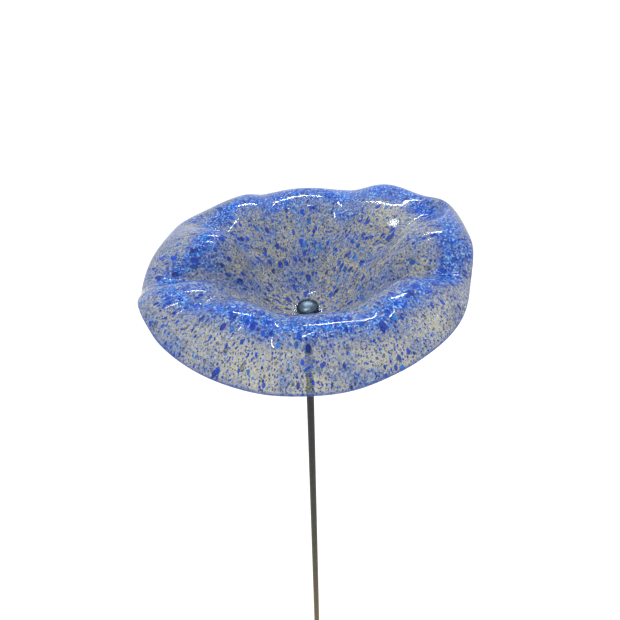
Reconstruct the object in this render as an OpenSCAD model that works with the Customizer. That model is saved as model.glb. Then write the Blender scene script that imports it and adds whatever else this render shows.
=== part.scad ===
// Garden-stake bird bath: a slumped glass dish with a folded, rolled-over rim, clamped on
// a threaded stud that a coupling nut joins to a plain steel stake.
// Millimetres, +Z up. The origin is on the stake's axis at the ground line.

/* [Glass dish] */
// Height of the underside of the dish's hub above the ground line
hub_height = 900; // [300:10:1200]
// Thickness of the glass
glass_t = 4; // [3:0.5:6]
// Radius of the flat hub that the washers clamp
hub_r = 14; // [14:1:18]
// Diameter of the hole drilled through the hub
hole_d = 11; // [10:0.5:13]
// Radius of the bowl where its wall is straight
wall_r = 69; // [55:1:75]
// Height of the bowl there, above the hub
wall_h = 45.5; // [35:1:55]
// Slope of the bowl's wall there, in degrees
wall_slope = 37; // [30:1:50]
// Mean radius of the crest, the top of the rim
crest_r = 110; // [100:1:125]
// Mean height of the crest above the hub
crest_h = 67; // [55:1:85]
// Mean radius of the lip, where the rolled rim ends
lip_r = 147; // [135:1:180]
// Mean height of the lip above the hub
lip_h = 50; // [35:1:60]
// How steeply the rim comes down to its lip, in degrees
lip_slope = 62; // [40:1:80]

/* [Clamp] */
// Thread diameter of the stud, the stake's end and the nuts
thread_d = 8; // [6:0.5:8]
// Pitch of that thread
thread_pitch = 1.25; // [1:0.25:1.5]
// Clearance between a thread and the nut on it, on the radius
thread_play = 0.05; // [0.02:0.01:0.1]
// Clearance between the stud and the sleeve that turns on it, on the radius
turn_play = 0.1; // [0.05:0.01:0.1]
// Clearance between the sleeve and the glass, on the radius
sleeve_play = 0.2; // [0.1:0.05:0.4]
// How much the sleeve stops short of the washer above it
sleeve_gap = 0.3; // [0.2:0.1:0.5]
// Clearance between the stud and each washer, on the radius
washer_play = 0.25; // [0.1:0.05:0.5]
// Diameter of the domed cap nut
cap_d = 21; // [18:1:26]
// Height of the domed cap nut
cap_h = 6.5; // [6:0.5:14]
// Height at which the cap nut is widest
cap_waist = 2.5; // [1:0.5:4]
// Metal left above the cap nut's blind hole
cap_roof = 1.5; // [1:0.25:3]
// Diameter of the rubber washer under the cap nut
cap_washer_d = 18; // [14:1:20]
// Thickness of the rubber washer under the cap nut
cap_washer_t = 1.5; // [1:0.25:3]
// Diameter of the rubber washer under the glass
seat_washer_d = 26; // [22:1:28]
// Thickness of the rubber washer under the glass
seat_washer_t = 2; // [1:0.25:4]
// Diameter of the steel plate under the rubber
plate_d = 28; // [22:1:32]
// Thickness of the steel plate
plate_t = 1.5; // [1:0.25:3]
// Width of the hexagon nuts across their flats
hex_af = 13; // [12:1:17]
// Height of the lock nut
lock_nut_h = 6.5; // [5:0.5:8]
// Depth of the chamfer on the nuts' corners
nut_chamfer = 1; // [0.5:0.25:1.5]

/* [Stake] */
// Length of the coupling nut between the stud and the stake
coupling_h = 24; // [18:1:40]
// Thread left bare between the lock nut and the coupling nut
bare_stud = 10; // [2:1:20]
// Diameter of the stake
stake_d = 8; // [8:1:12]
// Length of the stake below the ground line, with its point
buried = 250; // [150:10:400]
// Length of the stake's point
point_h = 14; // [8:1:30]
// Diameter of the flat at the end of the point
point_d = 1.5; // [1:0.5:3]

/* [Hidden] */
$fn = 96;

// The rim's folds, anticlockwise: a lobe that stands out, then the valley after it, and so on.
// Each is [direction in degrees, crest rise, crest spread, lip rise, lip spread].
folds = [
    [-154,    1,    0,    8,    2],
    [-144,   -3,   -3,    0,    1],
    [-123,    8,   -7,   -3,   -1],
    [-104,    1,  -11,   -6,   -3],
    [ -85,    6,   -8,   -9,   -7],
    [ -61,    7,    0,   -2,   -5],
    [ -42,   13,   -2,    5,   -2],
    [ -15,   -3,   13,    7,   -5],
    [   1,   19,    3,   27,   -4],
    [  27,   -5,   21,   21,    5],
    [  48,   -2,   11,    6,   10],
    [  70,  -10,    0,  -10,    4],
    [  88,   -5,    3,  -15,    1],
    [ 109,   -8,   -1,  -13,    1],
    [ 123,   -1,    0,   -7,   -2],
    [ 148,  -11,   -3,   -3,    1],
    [ 166,    8,  -20,   -1,   -3],
    [ 187,  -18,    6,   -9,    0]
];
// How tightly the valleys are pinched: 1 makes them as round as the lobes
valley_pinch = 1.6;
// Share of the way up the bowl that the folds leave round
fold_start = 0.25;

// Reaches of the section's curves from its four places
hub_reach = 22;
wall_reach = 18;
crest_in_reach = 24;
crest_out_reach = 15;
lip_reach = 14;

// Steps of the section's three curves, of the rounded lip and from a lobe to its valley
low_steps = 6;
high_steps = 6;
rim_steps = 7;
lip_steps = 4;
fold_steps = 6;

// Heights of the stack, from the glass down and up
seat_z = hub_height - seat_washer_t;
plate_z = seat_z - plate_t;
lock_z = plate_z - lock_nut_h;
coupling_top = lock_z - bare_stud;
coupling_z = coupling_top - coupling_h;
coupling_mid = coupling_z + coupling_h / 2;
glass_top = hub_height + glass_t;
cap_z = glass_top + cap_washer_t;
cap_bore = cap_h - cap_roof;
end_gap = 0.5;
stud_top = cap_z + cap_bore - end_gap;

// A 60 degree thread's depth and its flats, from its pitch
thread_depth = 0.6134 * thread_pitch;
crest_flat = thread_pitch / 8;
root_flat = thread_pitch / 4;

nut_bore_d = thread_d + 2 * thread_play;
washer_bore_d = thread_d + 2 * washer_play;
hex_corner_d = hex_af / cos(30);
core_r = hole_d / 4;
cut = 1;

// The section's middle line, as [radius, height above the middle of the hub]
hub_at = [hub_r, 0];
wall_at = [wall_r, wall_h];
crest_at = [crest_r, crest_h];
lip_at = [lip_r, lip_h];
wall_dir = [cos(wall_slope), sin(wall_slope)];
lip_dir = [cos(lip_slope), -sin(lip_slope)];
low_curve = [hub_at, hub_at + [hub_reach, 0], wall_at - wall_reach * wall_dir, wall_at];
high_curve = [wall_at, wall_at + wall_reach * wall_dir, crest_at - [crest_in_reach, 0], crest_at];
rim_curve = [crest_at, crest_at + [crest_out_reach, 0], lip_at - lip_reach * lip_dir, lip_at];

function along(c, t) = pow(1 - t, 3) * c[0] + 3 * pow(1 - t, 2) * t * c[1]
    + 3 * (1 - t) * t * t * c[2] + pow(t, 3) * c[3];
function unit(v) = v / norm(v);
function stretch(c, steps, first) = [for (i = [first : steps]) along(c, i / steps)];

stations = concat(
    [[core_r, 0]],
    stretch(low_curve, low_steps, 0),
    stretch(high_curve, high_steps, 1),
    stretch(rim_curve, rim_steps, 1)
);
last = len(stations) - 1;
crest_station = 1 + low_steps + high_steps;

function path_to(i) = i == 0 ? 0 : path_to(i - 1) + norm(stations[i] - stations[i - 1]);
hub_path = path_to(1);
crest_path = path_to(crest_station) - hub_path;
rim_path = path_to(last) - hub_path - crest_path;

function clamp(x) = min(1, max(0, x));
function ease(x) = x * x * (3 - 2 * x);
function share_up(i) = clamp((path_to(i) - hub_path) / crest_path);
function share_out(i) = clamp((path_to(i) - hub_path - crest_path) / rim_path);
function fold_share(i) = ease(clamp((share_up(i) - fold_start) / (1 - fold_start)));

// The shell's outline in one direction, as [station, turn]: up the inside, round the lip and
// back underneath. A turn of 90 is the glass's upper side, and -90 its lower side.
outline = concat(
    [for (i = [0 : last]) [i, 90]],
    [for (k = [1 : lip_steps - 1]) [last, 90 - 180 * k / lip_steps]],
    [for (i = [last : -1 : 0]) [i, -90]]
);
crest_shares = [for (i = [0 : last]) fold_share(i) * (1 - ease(share_out(i)))];
lip_shares = [for (i = [0 : last]) ease(share_out(i))];

// A station's place in the middle of the glass, in one direction, moved by the fold there
function placed(i, fold) =
    let (r = stations[i].x + crest_shares[i] * fold[2] + lip_shares[i] * fold[4],
         rise = crest_shares[i] * fold[1] + lip_shares[i] * fold[3])
    [r * cos(fold[0]), r * sin(fold[0]), stations[i].y + rise + glass_t / 2];

// The fold at a share of the way from one place in the list to the next
function is_lobe(i) = i % 2 == 0;
function next_fold(i) = i + 1 < len(folds) ? folds[i + 1] : folds[0] + [360, 0, 0, 0, 0];
function between(i, share) =
    let (lobe = is_lobe(i) ? folds[i] : next_fold(i), valley = is_lobe(i) ? next_fold(i) : folds[i],
         sunk = ease(pow(is_lobe(i) ? share : 1 - share, valley_pinch)),
         direction = folds[i][0] + share * (next_fold(i)[0] - folds[i][0]))
    concat([direction], [for (c = [1 : 4]) lobe[c] + sunk * (valley[c] - lobe[c])]);

module dish_shell() {
    n = len(outline);
    rounds = [for (i = [0 : len(folds) - 1], s = [0 : fold_steps - 1]) between(i, s / fold_steps)];
    count = len(rounds);
    middle = [for (fold = rounds) [for (i = [0 : last]) placed(i, fold)]];
    points = [
        for (j = [0 : count - 1])
        let (here = middle[j], before = middle[(j + count - 1) % count], after = middle[(j + 1) % count])
        for (o = outline)
        let (i = o[0], outward = unit(here[min(i + 1, last)] - here[max(i - 1, 0)]),
             upward = i < 2 ? [0, 0, 1] : unit(cross(outward, after[i] - before[i])))
        here[i] + glass_t / 2 * (cos(o[1]) * outward + sin(o[1]) * upward)
    ];
    faces = [
        for (j = [0 : count - 1], k = [0 : n - 1])
        let (here = j * n, next = (j + 1) % count * n, up = (k + 1) % n)
        for (f = [[here + k, next + up, here + up], [here + k, next + k, next + up]]) f
    ];
    polyhedron(points, faces, convexity = 8);
}

module glass_dish() {
    color("cornflowerblue", 0.7)
    translate([0, 0, hub_height])
    difference() {
        dish_shell();
        translate([0, 0, -cut]) cylinder(h = glass_t + 2 * cut, d = hole_d);
    }
}

module tube(h, outer_d, bore_d) {
    difference() {
        cylinder(h = h, d = outer_d);
        translate([0, 0, -cut]) cylinder(h = h + 2 * cut, d = bore_d);
    }
}

module hole_sleeve() {
    color("gainsboro")
    translate([0, 0, hub_height])
    tube(glass_t - sleeve_gap, hole_d - 2 * sleeve_play, thread_d + 2 * turn_play);
}

module seat_washer() {
    color("dimgray") translate([0, 0, seat_z]) tube(seat_washer_t, seat_washer_d, washer_bore_d);
}

module cap_washer() {
    color("dimgray") translate([0, 0, glass_top]) tube(cap_washer_t, cap_washer_d, washer_bore_d);
}

module support_plate() {
    color("silver") translate([0, 0, plate_z]) tube(plate_t, plate_d, washer_bore_d);
}

// A hexagon nut with both ends chamfered at its corners
module hex_nut(h) {
    rim_r = hex_corner_d / 2;
    difference() {
        intersection() {
            cylinder(h = h, d = hex_corner_d, $fn = 6);
            rotate_extrude()
            polygon([[0, 0], [rim_r - nut_chamfer, 0], [rim_r, nut_chamfer / 2],
                     [rim_r, h - nut_chamfer / 2], [rim_r - nut_chamfer, h], [0, h]]);
        }
        translate([0, 0, -cut]) cylinder(h = h + 2 * cut, d = nut_bore_d);
    }
}

module lock_nut() {
    color("silver") translate([0, 0, lock_z]) hex_nut(lock_nut_h);
}

module coupling_nut() {
    color("silver") translate([0, 0, coupling_z]) hex_nut(coupling_h);
}

// A round thread form: rings of the thread's own pitch, depth and flats
module thread(h) {
    turns = floor(h / thread_pitch);
    rest = (h - turns * thread_pitch) / 2;
    crest = thread_d / 2;
    root = crest - thread_depth;
    rotate_extrude()
    polygon(concat(
        [[0, 0], [root, 0], [root, rest]],
        [for (i = [0 : turns - 1], p = [
            [root, root_flat / 2], [crest, (thread_pitch - crest_flat) / 2],
            [crest, (thread_pitch + crest_flat) / 2], [root, thread_pitch - root_flat / 2]])
            [p.x, rest + i * thread_pitch + p.y]],
        [[root, h - rest], [root, h], [0, h]]
    ));
}

module top_stud() {
    low = coupling_mid + end_gap / 2;
    color("silver") translate([0, 0, low]) thread(stud_top - low);
}

module stake_rod() {
    color("dimgray") {
        translate([0, 0, -buried]) cylinder(h = point_h, d1 = point_d, d2 = stake_d);
        translate([0, 0, point_h - buried]) cylinder(h = coupling_z + buried - point_h, d = stake_d);
        translate([0, 0, coupling_z]) thread((coupling_h - end_gap) / 2);
    }
}

// A flattened ball with a flat seat and a blind threaded hole
module cap_nut() {
    cap_r = cap_d / 2;
    steps = 12;
    color("slategray")
    translate([0, 0, cap_z])
    difference() {
        rotate_extrude()
        polygon(concat(
            [[0, 0]],
            [for (i = [0 : steps]) let (a = 90 * i / steps)
                [cap_r - cap_waist * (1 - sin(a)), cap_waist * (1 - cos(a))]],
            [for (i = [1 : steps]) let (a = 90 * i / steps)
                [cap_r * cos(a), cap_waist + (cap_h - cap_waist) * sin(a)]]
        ));
        translate([0, 0, -cut]) cylinder(h = cap_bore + cut, d = nut_bore_d);
    }
}

stake_rod();
coupling_nut();
top_stud();
lock_nut();
support_plate();
seat_washer();
glass_dish();
hole_sleeve();
cap_washer();
cap_nut();
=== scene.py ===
"""A garden-stake bird bath: a dish of slumped, speckled glass on a slim steel stake."""
import math

import bpy
from mathutils import Matrix, Vector


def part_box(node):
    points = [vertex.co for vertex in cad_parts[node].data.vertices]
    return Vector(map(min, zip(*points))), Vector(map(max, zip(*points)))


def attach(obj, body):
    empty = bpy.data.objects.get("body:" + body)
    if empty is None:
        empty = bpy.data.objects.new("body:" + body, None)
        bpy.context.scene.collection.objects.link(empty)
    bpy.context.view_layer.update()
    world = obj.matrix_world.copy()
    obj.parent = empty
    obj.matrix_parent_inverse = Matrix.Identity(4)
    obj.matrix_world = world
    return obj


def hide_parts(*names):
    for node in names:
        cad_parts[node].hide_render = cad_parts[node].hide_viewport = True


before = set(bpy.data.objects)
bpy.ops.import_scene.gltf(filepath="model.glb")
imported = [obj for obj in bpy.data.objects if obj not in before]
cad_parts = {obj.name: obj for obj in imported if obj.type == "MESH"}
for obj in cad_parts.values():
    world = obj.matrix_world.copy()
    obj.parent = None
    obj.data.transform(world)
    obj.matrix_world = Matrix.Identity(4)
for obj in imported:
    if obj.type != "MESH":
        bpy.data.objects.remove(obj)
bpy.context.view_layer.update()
MM = 0.001

STAKE_LOW, STAKE_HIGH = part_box("stake_rod")
HUB = Vector((0, 0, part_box("hole_sleeve")[0].z + 2 * MM))

# Millimetres: widths across flats, thread and bore sizes of the M8 hardware
NUT_FLATS = 13.0
NUT_BORE_R = 4.05
WASHER_BORE_R = 4.25
BAR_R = 4.0
THREAD_ROOT_R = 3.23
THREAD_CREST_R = 3.92
THREAD_PITCH = 1.25

# Shares of glass that each of the shell's two surfaces covers: bare powder, the bowl, and chips
POWDER_COVER = 0.5
BOWL_EXTRA_COVER = 0.13
CHIP_COVER = 0.94

# Sets of drawn-out chips: spacing and largest radius in mm, how far drawn out, and a seed
CHIP_SETS = ((8.5, 2.9, 1.6, 0.3), (5.0, 2.0, 2.0, 1.9), (2.4, 1.15, 1.5, 3.7))


# ---------------------------------------------------------------- small helpers

def linear(hex_colour):
    """An sRGB hex colour as the linear RGBA that a shader wants."""
    parts = [int(hex_colour[i:i + 2], 16) / 255 for i in (1, 3, 5)]
    return [p / 12.92 if p <= 0.04045 else ((p + 0.055) / 1.055) ** 2.4 for p in parts] + [1.0]


def add(tree, kind, *values, stops=None, **settings):
    """Adds a shader node with its settings, links and values, and its ramp's colour stops.

    The kind may name an operation too, as in "Math ADD". Values fill the inputs in order, and
    a dict among them names its inputs. A node given as a value stands for its first output.
    """
    kind, _, operation = kind.partition(" ")
    made = tree.nodes.new("ShaderNode" + kind)
    if operation:
        made.operation = operation
    for name, value in settings.items():
        setattr(made, name, value)
    inputs = {}
    for place, value in enumerate(values):
        inputs.update(value if isinstance(value, dict) else {place: value})
    for key, value in inputs.items():
        if isinstance(value, bpy.types.Node):
            value = value.outputs[0]
        if isinstance(value, bpy.types.NodeSocket):
            tree.links.new(value, made.inputs[key])
        else:
            made.inputs[key].default_value = value
    if stops:
        ramp = made.color_ramp.elements
        while len(ramp) < len(stops):
            ramp.new(1.0)
        for element, (place, colour) in zip(ramp, stops):
            element.position = place
            element.color = linear(colour)
    return made


def material(name):
    """A new node material: its tree, its Principled shader and its object coordinates."""
    made = bpy.data.materials.new(name)
    made.use_nodes = True
    tree = made.node_tree
    return made, tree, tree.nodes["Principled BSDF"], add(tree, "TexCoord").outputs["Object"]


# ---------------------------------------------------------------- speckled glass

def chips(tree, coords, turn, spacing, largest, stretch, seed):
    """Glass chips drawn out from the hub: how far inside a chip a point is, and its tint.

    The circle is cut into sectors, and each has its own straight pattern that is stretched
    along its middle. The chips shrink away towards the edges of a sector, so that a second
    set half a sector round fills the gaps and no seam shows.
    """
    sectors = 12
    axes = add(tree, "SeparateXYZ", coords).outputs
    angle = add(tree, "Math ARCTAN2", axes[1], axes[0])
    place = add(tree, "Math MULTIPLY_ADD", angle, sectors / math.tau, turn)
    sector = add(tree, "Math ROUND", place)
    off_middle = add(tree, "Math ABSOLUTE", add(tree, "Math SUBTRACT", place, sector))
    room = add(tree, "Math MULTIPLY_ADD", off_middle, -2.0, 1.0, use_clamp=True)
    turned_by = add(tree, "Math SUBTRACT", sector, turn)
    back = add(tree, "Math MULTIPLY", turned_by, -math.tau / sectors)
    turned = add(tree, "VectorRotate", {"Vector": coords, "Angle": back}, rotation_type="Z_AXIS")
    drawn = add(tree, "VectorMath MULTIPLY", turned, (1 / stretch, 1, 1 / stretch))
    wrapped = add(tree, "Math FLOORED_MODULO", sector, sectors)
    own_shift = add(tree, "Math MULTIPLY", wrapped, 0.731)
    moved = add(tree, "VectorMath ADD", drawn, add(tree, "CombineXYZ", seed, own_shift))
    cells = add(tree, "TexVoronoi", {"Vector": moved, "Scale": 1 / (spacing * MM)}).outputs
    tints = add(tree, "SeparateColor", cells["Color"]).outputs
    reach = add(tree, "Math MULTIPLY", tints[0], largest / spacing)
    reach = add(tree, "Math MULTIPLY", reach, add(tree, "Math SQRT", room))
    return add(tree, "Math SUBTRACT", reach, cells["Distance"]), tints[1]


def blue_by_place(tree, coords):
    """The share of blue powder: cloudy patches, and more at the left, right and back."""
    axes = add(tree, "SeparateXYZ", coords).outputs
    cloud = add(tree, "TexNoise", {"Vector": coords, "Scale": 1 / (28 * MM), "Detail": 3.0})
    patches = add(tree, "MapRange", cloud, 0.46, 0.66, 0.0, 0.5)
    left = add(tree, "MapRange", axes[0], -50 * MM, -125 * MM, 0.0, 0.36)
    right = add(tree, "MapRange", axes[0], 95 * MM, 140 * MM, 0.0, 0.35)
    far = add(tree, "MapRange", axes[1], 70 * MM, 118 * MM, 0.0, 0.75)
    sides = add(tree, "Math MAXIMUM", add(tree, "Math MAXIMUM", left, right), far)
    return add(tree, "Math ADD", patches, sides)


def crest_band(tree, coords):
    """Where the chips crowd together, because the glass folds over at its crest."""
    crest = add(tree, "Attribute", attribute_name="from_crest").outputs["Fac"]
    near = add(tree, "Math DIVIDE", crest, 17 * MM)
    fall = add(tree, "Math MULTIPLY", add(tree, "Math MULTIPLY", near, near), -1.0)
    streaks = add(tree, "TexNoise", {"Vector": coords, "Scale": 1 / (9 * MM), "Detail": 4.0})
    uneven = add(tree, "Math MULTIPLY_ADD", streaks, 1.6, 0.1)
    return add(tree, "Math MULTIPLY", add(tree, "Math EXPONENT", fall), uneven, use_clamp=True)


def speckled_glass():
    """Clear soda-lime glass, slumped at a low heat over blue frit and grey glass powder.

    The frit gives hard-edged cobalt and azure chips, drawn out down the bowl. The powder gives
    a sandy grey-beige body that lets about a quarter of the light through. The surface is fire
    polished, so it mirrors lamps sharply.
    """
    made, tree, shader, coords = material("speckled_soda_lime_glass")
    flat = add(tree, "VectorMath MULTIPLY", coords, (1, 1, 0))
    radius = add(tree, "VectorMath LENGTH", flat).outputs["Value"]
    bowl = add(tree, "MapRange", radius, 112 * MM, 88 * MM, 0.0, 1.0, interpolation_type="SMOOTHSTEP")
    band = crest_band(tree, coords)

    # powder: grains of 1.3 mm, coarser than real powder so that they show; sandy, grey, lavender
    grains = add(tree, "TexVoronoi", {"Vector": coords, "Scale": 1 / (1.3 * MM)})
    grain_tints = add(tree, "SeparateColor", grains.outputs["Color"]).outputs
    powder = add(tree, "ValToRGB", grain_tints[0], stops=[
        (0.0, "#243052"), (0.18, "#525C62"), (0.38, "#807C56"), (0.62, "#9C9664"),
        (0.82, "#607292"), (1.0, "#BAB694")])
    blue_powder = add(tree, "ValToRGB", grain_tints[1], stops=[
        (0.0, "#062A80"), (0.35, "#0A48B8"), (0.6, "#1A66CC"), (0.8, "#4E8CCC"), (1.0, "#98B8D4")])
    blue = add(tree, "Math MAXIMUM", band, blue_by_place(tree, coords))
    blue = add(tree, "Math MULTIPLY_ADD", bowl, 0.08, blue, use_clamp=True)
    mixed = {0: blue, 6: powder, 7: blue_powder}
    colour = add(tree, "Mix", mixed, data_type="RGBA").outputs[2]

    # chips drawn out from the hub, in three sizes, a little larger where they crowd together
    bowl_crowd = add(tree, "Math MULTIPLY", bowl, 0.14)
    crowd = add(tree, "Math MULTIPLY_ADD", band, 0.22, bowl_crowd)
    extra = add(tree, "Math MULTIPLY", crowd, 0.3)
    solid = blue
    for spacing, largest, stretch, seed in CHIP_SETS:
        for turn in (0.0, 0.5):
            inside, tint = chips(tree, coords, turn, spacing, largest, stretch, seed + turn)
            mask = add(tree, "MapRange", add(tree, "Math ADD", inside, extra), 0.0, 0.04, 0.0, 1.0)
            chip = add(tree, "ValToRGB", tint, stops=[
                (0.0, "#051E60"), (0.3, "#06329A"), (0.55, "#0A46B8"), (0.75, "#06287C"),
                (0.9, "#1A78C8"), (1.0, "#0E1846")])
            colour = add(tree, "Mix", {0: mask, 6: colour, 7: chip}, data_type="RGBA").outputs[2]
            solid = add(tree, "Math MAXIMUM", solid, mask)

    # fine frit: specks of about a millimetre all over
    specks = add(tree, "TexVoronoi", {"Vector": coords, "Scale": 1 / (2.1 * MM)}).outputs
    speck_tints = add(tree, "SeparateColor", specks["Color"]).outputs
    more = add(tree, "Math MULTIPLY", blue, 0.12)
    reach = add(tree, "Math MULTIPLY_ADD", speck_tints[0], 0.5, more)
    inside = add(tree, "Math SUBTRACT", reach, specks["Distance"])
    mask = add(tree, "MapRange", inside, 0.08, 0.14)
    fine = add(tree, "ValToRGB", speck_tints[1], stops=[
        (0.0, "#0A2470"), (0.4, "#0C46B0"), (0.7, "#26345C"), (1.0, "#1E6CC8")])
    colour = add(tree, "Mix", {0: mask, 6: colour, 7: fine}, data_type="RGBA").outputs[2]
    solid = add(tree, "Math MAXIMUM", solid, mask)

    # the bare cut edge of the lip shows as a thin dark blue line
    lip = add(tree, "Attribute", attribute_name="from_lip").outputs["Fac"]
    edge = add(tree, "MapRange", lip, 1 * MM, 3 * MM, 0.7, 0.0)
    edged = {0: edge, 6: colour, 7: linear("#1E469C")}
    colour = add(tree, "Mix", edged, data_type="RGBA").outputs[2]
    solid = add(tree, "Math MAXIMUM", solid, edge)

    # cover: clearest where there is only powder, and nearly shut at a chip
    least = add(tree, "Math MULTIPLY_ADD", bowl, BOWL_EXTRA_COVER, POWDER_COVER)
    rest = add(tree, "Math SUBTRACT", CHIP_COVER, least)
    cover = add(tree, "Math MULTIPLY_ADD", solid, rest, least, use_clamp=True)

    # surface: slow ripples of 6 mm from the slumping, and grains that stand proud at the crest
    ripple = add(tree, "TexNoise", {"Vector": coords, "Scale": 1 / (6 * MM), "Detail": 2.0})
    waves = add(tree, "Bump", {"Strength": 0.25, "Distance": 0.4 * MM, "Height": ripple})
    proud = add(tree, "Math MULTIPLY", grain_tints[2], band)
    relief = {"Strength": 0.3, "Distance": 0.12 * MM, "Height": proud, "Normal": waves}
    tree.links.new(add(tree, "Bump", relief).outputs[0], shader.inputs["Normal"])
    tree.links.new(colour, shader.inputs["Base Color"])
    tree.links.new(cover.outputs[0], shader.inputs["Alpha"])
    shader.inputs["Roughness"].default_value = 0.05
    shader.inputs["IOR"].default_value = 1.52
    # below the usual 0.5, so that the pale room doesn't veil the chips
    shader.inputs["Specular IOR Level"].default_value = 0.22
    return made


def mark_rim(piece):
    """Stores how far each point lies from the crest and from the lip, in metres.

    In each of the slots round the axis, the lip is the outermost point and the crest is the
    highest point well inside it. Both rings are evened out over five slots.
    """
    mesh = piece.data
    slots = 180
    places = [(math.hypot(v.co.x, v.co.y), v.co.z) for v in mesh.vertices]
    keys = [int((math.atan2(v.co.y, v.co.x) / math.tau + 0.5) * slots) % slots
            for v in mesh.vertices]
    sectors = [[] for slot in range(slots)]
    for place, key in zip(places, keys):
        sectors[key].append(place)
    lips = [max(sector) for sector in sectors]
    crests = [max((p for p in sector if p[0] < 0.87 * lip[0]), key=lambda p: p[1])
              for sector, lip in zip(sectors, lips)]
    for name, ring in (("from_crest", crests), ("from_lip", lips)):
        near = [[ring[(slot + step) % slots] for step in (-2, -1, 0, 1, 2)] for slot in range(slots)]
        even = [[sum(place[axis] for place in group) / 5 for axis in (0, 1)] for group in near]
        values = [math.hypot(r - even[key][0], z - even[key][1])
                  for (r, z), key in zip(places, keys)]
        mesh.attributes.new(name, "FLOAT", "POINT").data.foreach_set("value", values)


def folded_dish(glass):
    """The dish: its faceted frame made whole again, rounded and polished smooth."""
    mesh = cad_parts["glass_dish"].data.copy()
    piece = bpy.data.objects.new("folded_glass_dish", mesh)
    bpy.context.collection.objects.link(piece)
    bpy.ops.object.select_all(action="DESELECT")
    bpy.context.view_layer.objects.active = piece
    piece.select_set(True)
    bpy.ops.object.mode_set(mode="EDIT")
    bpy.ops.mesh.select_all(action="SELECT")
    bpy.ops.mesh.remove_doubles(threshold=0.02 * MM)
    skew = math.radians(60)
    bpy.ops.mesh.tris_convert_to_quads(face_threshold=skew, shape_threshold=skew)
    bpy.ops.object.mode_set(mode="OBJECT")
    smooth = piece.modifiers.new("smooth", "SUBSURF")
    smooth.levels = smooth.render_levels = 2
    bpy.ops.object.modifier_apply(modifier=smooth.name)
    bpy.ops.object.shade_smooth()
    mark_rim(piece)
    mesh.materials.clear()
    mesh.materials.append(glass)
    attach(piece, "dish")
    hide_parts("glass_dish")


# ---------------------------------------------------------------- metals, rubber and nylon

def polished_steel():
    """Dark polished steel: a blue-grey mirror, softened by the haze of a tumbled finish."""
    made, tree, shader, coords = material("polished_dark_steel")
    haze = add(tree, "TexNoise", {"Vector": coords, "Scale": 1 / (3 * MM), "Detail": 4.0})
    colour = add(tree, "ValToRGB", haze, stops=[(0.3, "#3A4856"), (0.55, "#4C5C6A"), (0.75, "#606F7C")])
    rough = add(tree, "MapRange", {"Value": haze, "To Min": 0.24, "To Max": 0.4})
    tree.links.new(colour.outputs[0], shader.inputs["Base Color"])
    tree.links.new(rough.outputs[0], shader.inputs["Roughness"])
    shader.inputs["Metallic"].default_value = 1.0
    return made


def steel_with_painted_reflection():
    """Hot-rolled steel bar: dark, nearly matt mill scale, with a painted reflection that turns it browner
    towards the ground.
    """
    made, tree, shader, coords = material("hot_rolled_steel_bar")
    axes = add(tree, "SeparateXYZ", coords).outputs
    flakes = add(tree, "TexNoise", {"Vector": coords, "Scale": 1 / (5 * MM), "Detail": 5.0})
    # painted reflection: the colour turns browner towards the ground, with flakes of mill scale mixed in
    height = add(tree, "MapRange", axes[2], 0.0, STAKE_HIGH.z)
    lowered = add(tree, "Math SUBTRACT", height, 0.15)
    mixed = add(tree, "Math MULTIPLY_ADD", flakes, 0.3, lowered)
    colour = add(tree, "ValToRGB", mixed, stops=[
        (0.1, "#7A5C36"), (0.35, "#5A4E36"), (0.6, "#3C3C34"), (0.9, "#2E2C30")])
    rough = add(tree, "MapRange", {"Value": flakes, "To Min": 0.45, "To Max": 0.7})
    bump = add(tree, "Bump", {"Strength": 0.3, "Distance": 0.1 * MM, "Height": flakes})
    tree.links.new(colour.outputs[0], shader.inputs["Base Color"])
    tree.links.new(rough.outputs[0], shader.inputs["Roughness"])
    tree.links.new(bump.outputs[0], shader.inputs["Normal"])
    # mill scale is an oxide, so little of the steel's own mirror is left
    shader.inputs["Metallic"].default_value = 0.2
    shader.inputs["Specular IOR Level"].default_value = 0.2
    return made


def zinc_steel():
    """Zinc-plated steel that has dulled outdoors: satin grey, faintly blue and straw in places."""
    made, tree, shader, coords = material("zinc_plated_steel")
    bloom = add(tree, "TexNoise", {"Vector": coords, "Scale": 1 / (4 * MM), "Detail": 3.0})
    colour = add(tree, "ValToRGB", bloom, stops=[(0.3, "#66686C"), (0.55, "#7A7A76"), (0.75, "#6E737C")])
    rough = add(tree, "MapRange", {"Value": bloom, "To Min": 0.28, "To Max": 0.45})
    tree.links.new(colour.outputs[0], shader.inputs["Base Color"])
    tree.links.new(rough.outputs[0], shader.inputs["Roughness"])
    shader.inputs["Metallic"].default_value = 1.0
    return made


def moulded_rubber():
    """Black moulded rubber: matt, with a faint grain and a dusty bloom."""
    made, tree, shader, coords = material("moulded_black_rubber")
    grain = add(tree, "TexNoise", {"Vector": coords, "Scale": 1 / (0.8 * MM), "Detail": 3.0})
    colour = add(tree, "ValToRGB", grain, stops=[(0.35, "#1C1D20"), (0.7, "#2C2D30")])
    bump = add(tree, "Bump", {"Strength": 0.3, "Distance": 0.05 * MM, "Height": grain})
    tree.links.new(colour.outputs[0], shader.inputs["Base Color"])
    tree.links.new(bump.outputs[0], shader.inputs["Normal"])
    shader.inputs["Roughness"].default_value = 0.75
    return made


def natural_nylon():
    """Natural nylon: milky off-white, slightly waxy."""
    made, tree, shader, coords = material("natural_nylon")
    milk = add(tree, "TexNoise", {"Vector": coords, "Scale": 1 / (2 * MM), "Detail": 2.0})
    colour = add(tree, "ValToRGB", milk, stops=[(0.3, "#D9D6CA"), (0.7, "#E8E6DC")])
    tree.links.new(colour.outputs[0], shader.inputs["Base Color"])
    shader.inputs["Roughness"].default_value = 0.4
    return made


# ---------------------------------------------------------------- hardware

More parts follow.
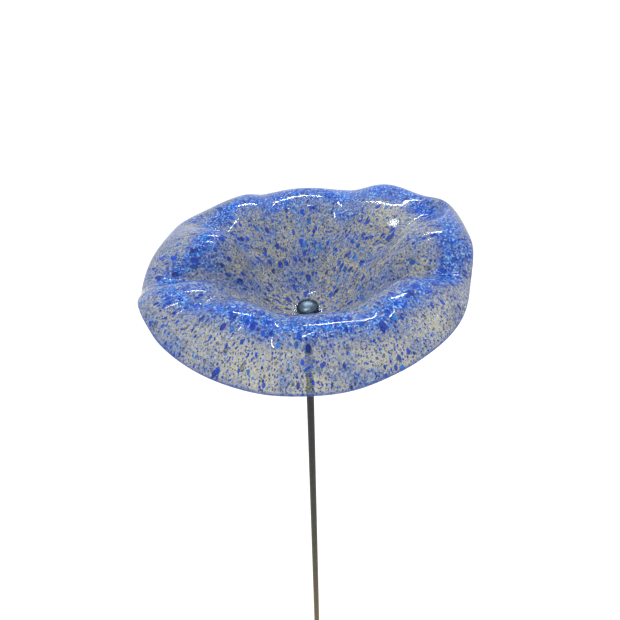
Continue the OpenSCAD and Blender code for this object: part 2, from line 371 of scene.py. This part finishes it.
def lathe(name, profile):
    """Spins a profile of (radius, height) points, in millimetres, about the stake's axis."""
    bpy.ops.object.select_all(action="DESELECT")
    bpy.ops.mesh.primitive_plane_add(size=MM)
    piece = bpy.context.active_object
    piece.name = piece.data.name = name
    bpy.ops.object.mode_set(mode="EDIT")
    bpy.ops.mesh.select_all(action="SELECT")
    bpy.ops.mesh.merge(type="CENTER")
    bpy.ops.transform.translate(value=(profile[0][0] * MM, 0, profile[0][1] * MM))
    for before, here in zip(profile, profile[1:]):
        step = ((here[0] - before[0]) * MM, 0, (here[1] - before[1]) * MM)
        bpy.ops.mesh.extrude_region_move(TRANSFORM_OT_translate={"value": step})
    bpy.ops.mesh.select_all(action="SELECT")
    bpy.ops.mesh.spin(steps=96, angle=math.tau, center=(0, 0, 0), axis=(0, 0, 1))
    bpy.ops.mesh.select_all(action="SELECT")
    bpy.ops.mesh.remove_doubles(threshold=0.004 * MM)
    bpy.ops.mesh.normals_make_consistent(inside=False)
    bpy.ops.object.mode_set(mode="OBJECT")
    bpy.ops.object.shade_smooth_by_angle(angle=math.radians(35))
    return piece


def fit(piece, node, body, finish):
    """Puts a finished piece in the place of its CAD node."""
    piece.data.materials.clear()
    piece.data.materials.append(finish)
    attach(piece, body)
    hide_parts(node)


def heights(node):
    """The heights of a CAD node's bottom and top, in millimetres."""
    low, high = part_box(node)
    return low.z / MM, high.z / MM


def ring(name, node, outer, bore, soft):
    """A turned ring: its two radii, and the small chamfer that breaks its edges."""
    low, high = heights(node)
    return lathe(name, [
        (bore, low + soft), (bore + soft, low), (outer - soft, low), (outer, low + soft),
        (outer, high - soft), (outer - soft, high), (bore + soft, high), (bore, high - soft),
        (bore, low + soft)])


def hexagon_nut(name, node):
    """A hexagon nut: a six-sided bar cut by a turned ring that carries its chamfers and bore."""
    low, high = heights(node)
    corner, bore, lead, past = NUT_FLATS / math.sqrt(3), NUT_BORE_R, 0.5, 0.1
    turned = lathe("turned_ring", [
        (bore, low + lead), (bore + lead, low), (corner - 1, low), (corner + past, low + 0.6),
        (corner + past, high - 0.6), (corner - 1, high), (bore + lead, high), (bore, high - lead),
        (bore, low + lead)])
    bpy.ops.object.select_all(action="DESELECT")
    bpy.ops.mesh.primitive_cylinder_add(
        vertices=6, radius=corner * MM, depth=(high - low + 2) * MM,
        location=(0, 0, (low + high) / 2 * MM), rotation=(0, 0, math.pi / 6))
    nut = bpy.context.active_object
    nut.name = nut.data.name = name
    bpy.ops.object.transform_apply(location=True, rotation=True, scale=True)
    form = nut.modifiers.new("form", "BOOLEAN")
    form.operation, form.solver, form.object = "INTERSECT", "EXACT", turned
    bpy.ops.object.modifier_apply(modifier=form.name)
    bpy.data.objects.remove(turned)
    bpy.ops.object.shade_smooth_by_angle(angle=math.radians(25))
    return nut


def domed_cap():
    """The cap nut: a flattened ball with a flat seat and a blind bore."""
    low, high = heights("cap_nut")
    radius = (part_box("cap_nut")[1].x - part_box("cap_nut")[0].x) / 2 / MM
    waist, roof, steps = 2.5, 1.5, 20
    angles = [math.pi / 2 * i / steps for i in range(steps + 1)]
    under = [(radius - waist * (1 - math.sin(a)), low + waist * (1 - math.cos(a))) for a in angles]
    dome = high - low - waist
    over = [(radius * math.cos(a), low + waist + dome * math.sin(a)) for a in angles[1:]]
    hole = [(0, high - roof), (NUT_BORE_R, high - roof), (NUT_BORE_R, low)]
    return lathe("domed_cap_nut", hole + under + over)


def pointed_stake():
    """The stake: a plain bar with a point for the ground and a thread at its upper end."""
    low, high = heights("stake_rod")
    shank = heights("coupling_nut")[0]
    tooth = ((THREAD_ROOT_R, 0.12), (THREAD_CREST_R, 0.44), (THREAD_CREST_R, 0.56), (THREAD_ROOT_R, 0.88))
    turns = int((high - shank) / THREAD_PITCH)
    thread = [(r, shank + (i + share) * THREAD_PITCH) for i in range(turns) for r, share in tooth]
    point = [(0, low), (0.6, low), (0.75, low + 0.4), (BAR_R - 0.15, low + 13.2), (BAR_R, low + 15)]
    shoulder = [(BAR_R, shank - 0.6), (BAR_R - 0.5, shank)]
    return lathe("pointed_stake", point + shoulder + thread + [(THREAD_ROOT_R, high), (0, high)])


def hardware(bar, zinc, rubber, nylon, steel):
    """Makes the stake, the nuts, the rings and the cap, and finishes the stud's CAD mesh."""
    fit(pointed_stake(), "stake_rod", "stake", bar)
    for name, node in (("coupling_hexagon", "coupling_nut"), ("locking_hexagon", "lock_nut")):
        fit(hexagon_nut(name, node), node, "stake", zinc)
    plate = ring("steel_plate", "support_plate", outer=14, bore=WASHER_BORE_R, soft=0.25)
    fit(plate, "support_plate", "stake", zinc)
    lower = ring("lower_rubber", "seat_washer", outer=13, bore=WASHER_BORE_R, soft=0.4)
    fit(lower, "seat_washer", "stake", rubber)
    sleeve = ring("nylon_sleeve", "hole_sleeve", outer=5.3, bore=4.1, soft=0.15)
    fit(sleeve, "hole_sleeve", "dish", nylon)
    upper = ring("upper_rubber", "cap_washer", outer=9, bore=WASHER_BORE_R, soft=0.3)
    fit(upper, "cap_washer", "cap_seal", rubber)
    fit(domed_cap(), "cap_nut", "cap", steel)
    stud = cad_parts["top_stud"].data
    stud.materials.clear()
    stud.materials.append(zinc)


# ---------------------------------------------------------------- camera, light and floor

def camera():
    """Looks down over the front rim, leaning a little, from about 0.6 m."""
    pitch, roll = math.radians(41.2), math.radians(-1.49)
    made = bpy.data.objects.new("camera", bpy.data.cameras.new("camera"))
    bpy.context.collection.objects.link(made)
    back = Vector((0, -math.cos(pitch), math.sin(pitch)))
    turned = (-back).to_track_quat("-Z", "Y").to_matrix() @ Matrix.Rotation(roll, 3, "Z")
    # to the right of the hub, above it and back from it, in millimetres
    away = turned @ Vector((2.0, 1.43, 614.5)) * MM
    made.matrix_world = Matrix.Translation(HUB + away) @ turned.to_4x4()
    made.data.lens = 37.5
    made.data.sensor_width = 36
    made.data.clip_end = 60
    bpy.context.scene.camera = made


def strip_lamp(name, place, size, power):
    """A strip lamp that faces the dish. Its size is in metres and its power in watts."""
    data = bpy.data.lights.new(name, "AREA")
    data.shape, data.size, data.size_y, data.energy = "RECTANGLE", size[0], size[1], power
    made = bpy.data.objects.new(name, data)
    made.location = place
    made.rotation_euler = (HUB - Vector(place)).to_track_quat("-Z", "Y").to_euler()
    bpy.context.collection.objects.link(made)


def studio():
    """A pale floor at the stake's point, an even white room and two thin strip lamps."""
    bpy.ops.mesh.primitive_plane_add(size=60, location=(0, 0, STAKE_LOW.z))
    floor = bpy.context.active_object
    floor.name = "floor"
    made, _, shader, _ = material("pale_floor")
    shader.inputs["Base Color"].default_value = linear("#F4F4F2")
    shader.inputs["Roughness"].default_value = 0.9
    shader.inputs["Specular IOR Level"].default_value = 0.1
    floor.data.materials.append(made)
    world = bpy.data.worlds.new("soft_light")
    world.use_nodes = True
    world.node_tree.nodes["Background"].inputs[0].default_value = linear("#FFFFFF")
    world.node_tree.nodes["Background"].inputs[1].default_value = 1.12
    bpy.context.scene.world = world
    strip_lamp("back_strip", (0.0, 2.2, 2.95), (1.0, 0.09), 24)
    strip_lamp("top_strip", (-0.3, 0.3, 3.2), (0.7, 0.09), 15)
    bpy.context.scene.view_settings.view_transform = "Standard"


# ---------------------------------------------------------------- the object

glass, steel, bar, zinc = speckled_glass(), polished_steel(), steel_with_painted_reflection(), zinc_steel()
rubber, nylon = moulded_rubber(), natural_nylon()
folded_dish(glass)
hardware(bar, zinc, rubber, nylon, steel)
camera()
studio()
